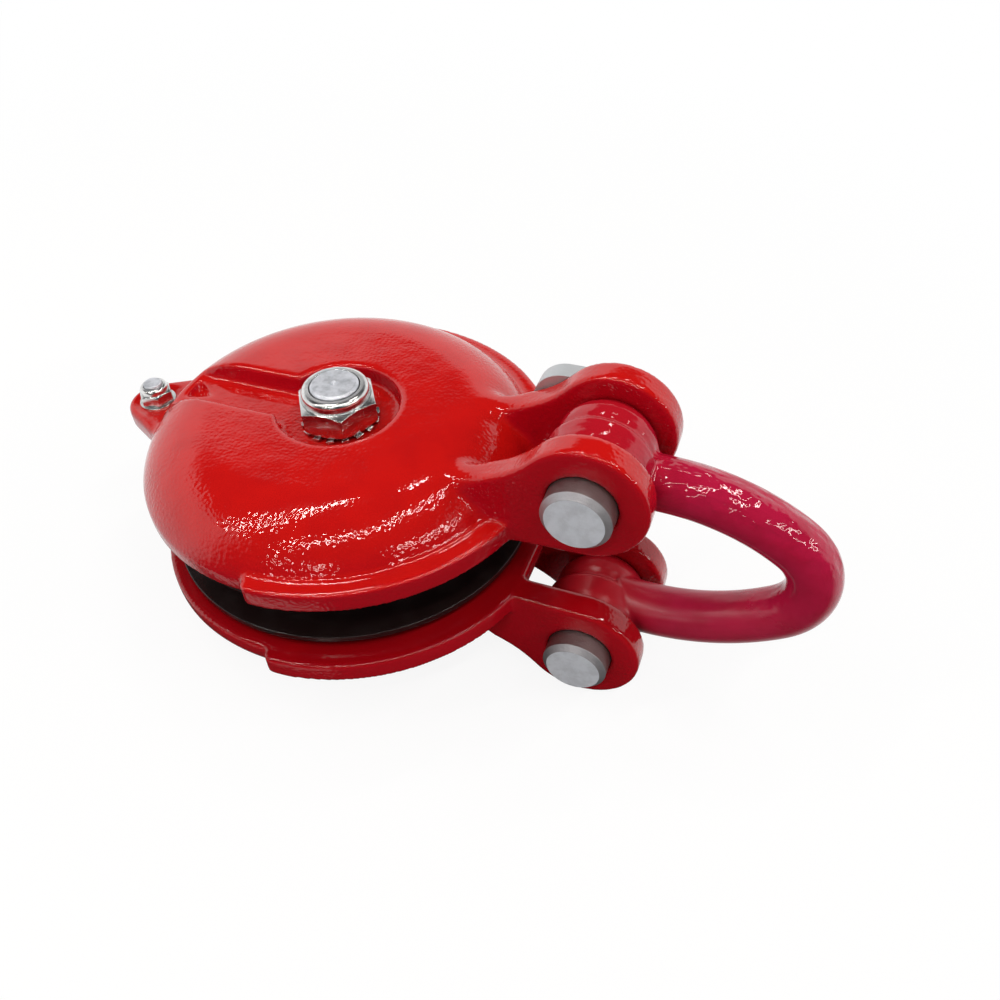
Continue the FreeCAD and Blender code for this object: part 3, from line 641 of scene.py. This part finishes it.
def make_skins(finishes):
    """Cast skins of the two cheeks and the forged skin of the link."""
    upper, lower = pin_bore("upper_pin"), pin_bore("lower_pin")
    root_x, root_y = root_place
    height = arm_top()
    for name, side, bore in (("upper_cheek", 1, upper), ("lower_cheek", -1, lower)):
        roots = [(root_x, y, side * height) for y in (-root_y, root_y)]
        skin = soft_skin(name, cheek_voxel, [bore], roots)
        dress(skin, finishes["red_enamel"])
        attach(skin, "block")
        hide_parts(name)
    link = soft_skin("shackle", link_voxel, [upper, lower])
    dress(link, finishes["link_enamel"])
    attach(link, "block")
    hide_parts("shackle")


def lower_hull(points):
    """Lower side of the outline round points in a plane, from left to right."""
    hull = []
    for x, z in sorted(points):
        while len(hull) > 1:
            (first_x, first_z), (last_x, last_z) = hull[-2:]
            if (last_x - first_x) * (z - first_z) - (last_z - first_z) * (x - first_x) > 0:
                break
            hull.pop()
        hull.append((x, z))
    return hull


def resting_slope():
    """Slope and height at x = 0 of the plane on which the block lies, along X."""
    points = {
        (round(vertex.co.x, place_digits), round(vertex.co.z, place_digits))
        for node in nodes.values()
        for vertex in node.data.vertices
    }
    hull = lower_hull(points)
    centre = (cad_box[0].x + cad_box[1].x) / 2
    for (left_x, left_z), (right_x, right_z) in zip(hull, hull[1:]):
        if left_x <= centre <= right_x:
            slope = (right_z - left_z) / (right_x - left_x)
            return slope, left_z - slope * left_x
    raise RuntimeError("the block has no resting plane")


def background_rays(tree):
    """1 for rays that should see the plain background: straight, in a gloss or through glass."""
    path = tree.nodes.new("ShaderNodeLightPath")
    return path.outputs["Is Camera Ray"], path.outputs["Is Glossy Ray"], path.outputs["Is Transmission Ray"]


def vector_maths(tree, operation, vector):
    """Node that works on one vector."""
    node = add(tree, "ShaderNodeVectorMath", operation=operation)
    tree.links.new(vector, node.inputs[0])
    return node


def along_way(tree, direction, way):
    """How far a direction points along a fixed way."""
    node = vector_maths(tree, "DOT_PRODUCT", direction)
    node.inputs[1].default_value = way
    return node.outputs["Value"]


def toward_backdrop(tree, direction):
    """Smooth step from 0 in front of the block to 1 beside and behind it."""
    return ramp(tree, along_way(tree, direction, backdrop_way), backdrop_start)


def floor_in_gloss(tree, place):
    """Colour of the floor in front of the block as its gloss shows it."""
    along, across, _ = separate(tree, place)
    strip = maths(tree, "MULTIPLY", ramp(tree, across, strip_front), ramp(tree, across, strip_back))
    strip = maths(tree, "MULTIPLY", strip, ramp(tree, along, strip_right))
    return mix_colour(tree, ramp(tree, strip, strip_shade), black, white)


def floor_material():
    """Pale floor: white to the camera and far away, with the block's soft shadow near it."""
    material = bpy.data.materials.new("studio_floor")
    material.use_nodes = True
    tree = material.node_tree
    tree.nodes.clear()
    camera, glossy, transmitted = background_rays(tree)
    geometry = tree.nodes.new("ShaderNodeNewGeometry")
    place = geometry.outputs["Position"]
    distance = vector_maths(tree, "LENGTH", place).outputs["Value"]
    way = vector_maths(tree, "NORMALIZE", place).outputs["Vector"]
    far = maths(tree, "MULTIPLY", ramp(tree, distance, beside_block), toward_backdrop(tree, way))
    mirrored = maths(tree, "MULTIPLY", maths(tree, "MAXIMUM", glossy, transmitted), far)
    seen = maths(tree, "MAXIMUM", camera, mirrored)
    near = mix_colour(tree, glossy, floor_bounce, floor_in_gloss(tree, place))
    diffuse = tree.nodes.new("ShaderNodeBsdfDiffuse")
    tree.links.new(mix_colour(tree, seen, near, white), diffuse.inputs["Color"])
    glow = add(tree, "ShaderNodeEmission", Strength=backdrop_strength)
    glowing = maths(tree, "MULTIPLY", seen, ramp(tree, distance, shadow_fade))
    top = mix_shader(tree, glowing, diffuse.outputs["BSDF"], glow.outputs["Emission"])
    unseen = tree.nodes.new("ShaderNodeBsdfTransparent")
    one_sided = mix_shader(tree, geometry.outputs["Backfacing"], top, unseen.outputs["BSDF"])
    output = tree.nodes.new("ShaderNodeOutputMaterial")
    tree.links.new(one_sided, output.inputs["Surface"])
    return material


def make_floor():
    """Floor disc under the block, sloped as the block rests on its bolt head and its two lower ears."""
    slope, height = resting_slope()
    bpy.ops.mesh.primitive_circle_add(vertices=floor_corners, radius=floor_radius, fill_type="NGON")
    floor = bpy.context.object
    floor.name = "studio_floor"
    floor.matrix_world = Matrix.Translation((0, 0, height)) @ Matrix.Rotation(-math.atan(slope), 4, "Y")
    floor.data.materials.append(floor_material())


def make_world():
    """White backdrop behind and beside the block, and a dim room in front of it and overhead."""
    world = bpy.data.worlds.new("studio")
    bpy.context.scene.world = world
    world.use_nodes = True
    tree = world.node_tree
    background = next(node for node in tree.nodes if node.type == "BACKGROUND")
    direction = add(tree, "ShaderNodeTexCoord").outputs["Generated"]
    _, _, height = separate(tree, direction)
    lowered = ramp(tree, along_way(tree, direction, right_way), lower_top_at_right)
    low = ramp(tree, maths(tree, "ADD", height, lowered), backdrop_top)
    backdrop = maths(tree, "MULTIPLY", toward_backdrop(tree, direction), low)
    camera, _, transmitted = background_rays(tree)
    seen = maths(tree, "MAXIMUM", camera, transmitted)
    shown = maths(tree, "MAXIMUM", seen, backdrop)
    tree.links.new(mix_colour(tree, shown, room_colour, white), background.inputs["Color"])
    background.inputs["Strength"].default_value = backdrop_strength


def strip_light(name, start, end, width, radiance):
    """Long lamp between two points, facing the block."""
    start, end = Vector(start), Vector(end)
    centre = (start + end) / 2
    length = (end - start).length
    lamp = bpy.data.lights.new(name, "AREA")
    lamp.shape = "RECTANGLE"
    lamp.size = length
    lamp.size_y = width
    lamp.energy = radiance * math.pi * length * width
    lamp.color = lamp_colour
    along = (end - start).normalized()
    across = centre.normalized().cross(along).normalized()
    back = along.cross(across)
    obj = bpy.data.objects.new(name, lamp)
    turn = Matrix((along, across, back)).transposed().to_4x4()
    obj.matrix_world = Matrix.Translation(centre) @ turn
    bpy.context.scene.collection.objects.link(obj)


def make_lights():
    """Bent rows of ceiling lamps, and lower windows in front and to the right."""
    for turns in lamp_rows:
        for start, end in zip(turns, turns[1:]):
            strip_light("lamp", (*start, lamp_height), (*end, lamp_height), lamp_width, lamp_radiance)
    for start, end in windows:
        strip_light("window", start, end, window_width, window_radiance)


def make_camera():
    """Camera at the photograph's place, from its azimuth, elevation, roll and distance."""
    back = Vector((
        math.sin(camera_azimuth) * math.cos(camera_elevation),
        -math.cos(camera_azimuth) * math.cos(camera_elevation),
        math.sin(camera_elevation),
    ))
    level = Vector(right_way)
    upright = back.cross(level)
    right = level * math.cos(camera_roll) + upright * math.sin(camera_roll)
    up = upright * math.cos(camera_roll) - level * math.sin(camera_roll)
    lens = bpy.data.cameras.new("camera")
    lens.lens = camera_lens
    lens.sensor_width = sensor_width
    obj = bpy.data.objects.new("camera", lens)
    turn = Matrix((right, up, back)).transposed().to_4x4()
    obj.matrix_world = Matrix.Translation(camera_target + back * camera_distance) @ turn
    bpy.context.scene.collection.objects.link(obj)
    bpy.context.scene.camera = obj


def main():
    """Dress the frame and build the studio round it."""
    bpy.context.scene.view_settings.view_transform = "Standard"
    for node in nodes.values():
        shade_smooth(node.data)
        node.data.set_sharp_from_angle(angle=sharp_angle)
    finishes = make_finishes()
    dress_nodes(finishes)
    make_skins(finishes)
    make_floor()
    make_world()
    make_lights()
    make_camera()


main()
